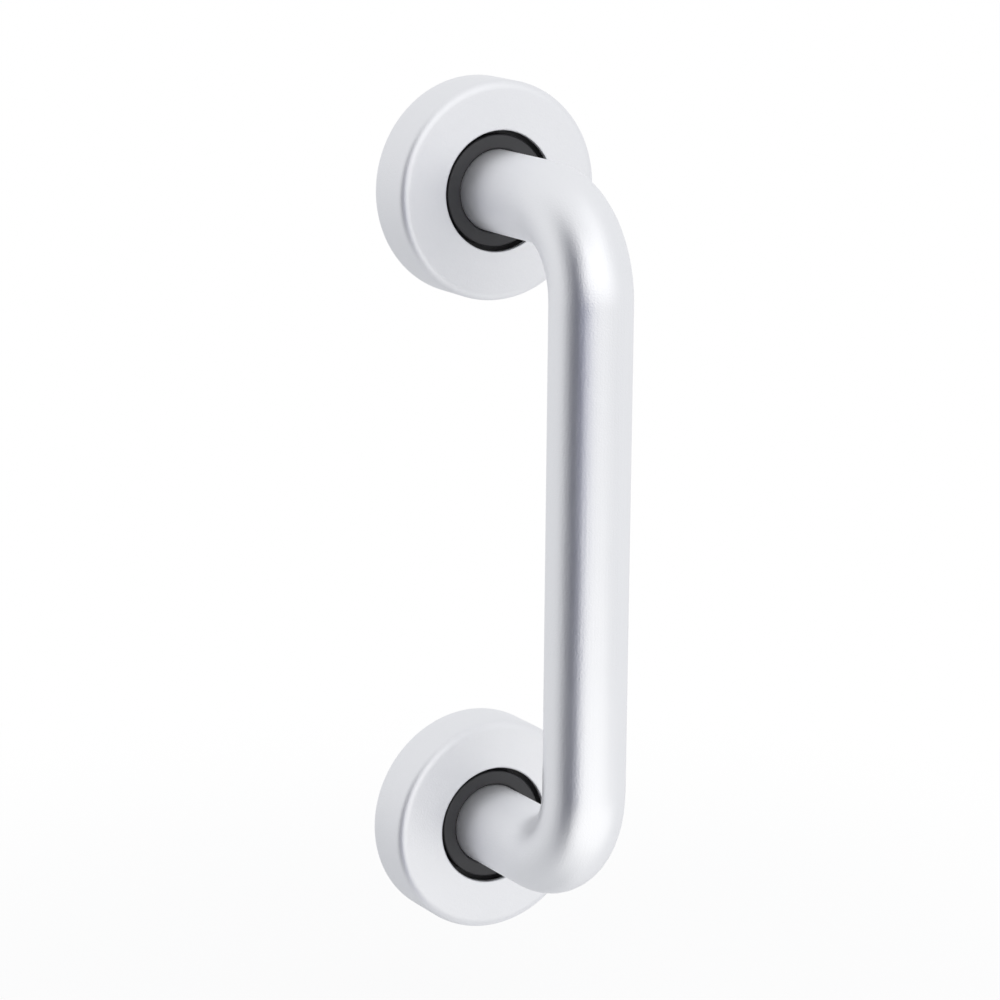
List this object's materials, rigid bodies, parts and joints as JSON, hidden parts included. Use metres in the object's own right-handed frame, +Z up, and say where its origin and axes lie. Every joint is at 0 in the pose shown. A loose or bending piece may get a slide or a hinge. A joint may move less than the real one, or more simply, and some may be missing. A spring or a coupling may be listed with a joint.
{
  "type": "d pull handle",
  "caption": "D-shaped pull handle of round satin aluminium bar on round rose covers, each with a dark collar at the bar's foot, screwed to a door.",
  "frame": {"origin": "on the door's face, midway between the two feet of the bar", "axes": "+Z up along the grip, +Y into the door, so the handle stands out along -Y, and +X to the right for someone who faces the door"},
  "size_m": [0.051, 0.0635, 0.203],
  "materials": {
    "satin_aluminium": "satin anodised, with a fine even grain",
    "black_nylon": "smooth moulded, dull",
    "plated_steel": "bright zinc plating"
  },
  "bodies": {
    "root": {"handle_bar": "satin_aluminium", "upper_base_plate": "black_nylon", "upper_rose_cover": "satin_aluminium", "upper_foot_screw": "plated_steel", "lower_base_plate": "black_nylon", "lower_rose_cover": "satin_aluminium", "lower_foot_screw": "plated_steel"}
  },
  "joints": []
}
